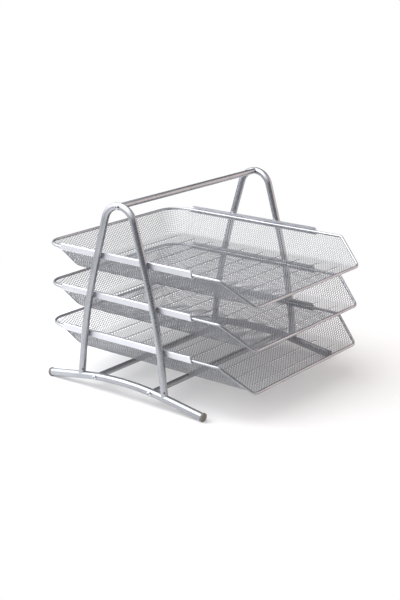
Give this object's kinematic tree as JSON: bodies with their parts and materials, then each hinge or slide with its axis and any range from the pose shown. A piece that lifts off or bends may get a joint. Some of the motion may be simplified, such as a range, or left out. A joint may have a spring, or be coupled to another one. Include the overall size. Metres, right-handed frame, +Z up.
{
  "type": "document tray",
  "caption": "Tiered desk tray: pressed-mesh letter trays with wire rims slide on channel rails between two bent-tube side frames joined by a carrying handle and cross bars.",
  "frame": {"origin": "centre of the overall box on the table plane, under the middle of the trays' length", "axes": "+Z up, -Y towards the trays' open low fronts, +X to the right seen from the front"},
  "size_m": [0.3264, 0.3582, 0.2747],
  "materials": {
    "tube_paint": "satin silver powder coat",
    "rail_paint": "satin silver powder coat",
    "wire_paint": "satin silver powder coat",
    "mesh_paint": "satin silver powder coat on expanded metal",
    "screw_steel": "bright zinc plate",
    "insert_steel": "turned, plain",
    "cap_plastic": "moulded, fine grain"
  },
  "bodies": {
    "stand": {"left_side_frame": "tube_paint", "right_side_frame": "tube_paint", "left_base_tube": "tube_paint", "right_base_tube": "tube_paint", "front_left_end_cap": "cap_plastic", "rear_left_end_cap": "cap_plastic", "front_right_end_cap": "cap_plastic", "rear_right_end_cap": "cap_plastic", "handle_bar": "tube_paint", "front_cross_bar": "tube_paint", "rear_cross_bar": "tube_paint", "handle_inserts": "insert_steel", "handle_screws": "screw_steel", "cross_bar_inserts": "insert_steel", "cross_bar_screws": "screw_steel", "top_left_rail": "rail_paint", "top_right_rail": "rail_paint", "middle_left_rail": "rail_paint", "middle_right_rail": "rail_paint", "bottom_left_rail": "rail_paint", "bottom_right_rail": "rail_paint"},
    "top_tray": {"top_tray_rim": "wire_paint", "top_tray_mesh": "mesh_paint"},
    "middle_tray": {"middle_tray_rim": "wire_paint", "middle_tray_mesh": "mesh_paint"},
    "bottom_tray": {"bottom_tray_rim": "wire_paint", "bottom_tray_mesh": "mesh_paint"}
  },
  "joints": [
    {"name": "top_tray_slide", "type": "slide", "parent": "stand", "child": "top_tray", "axis": [0, -1, 0], "range_m": [-0.038, 0.15]},
    {"name": "middle_tray_slide", "type": "slide", "parent": "stand", "child": "middle_tray", "axis": [0, -1, 0], "range_m": [-0.038, 0.15]},
    {"name": "bottom_tray_slide", "type": "slide", "parent": "stand", "child": "bottom_tray", "axis": [0, -1, 0], "range_m": [-0.038, 0.15]}
  ]
}
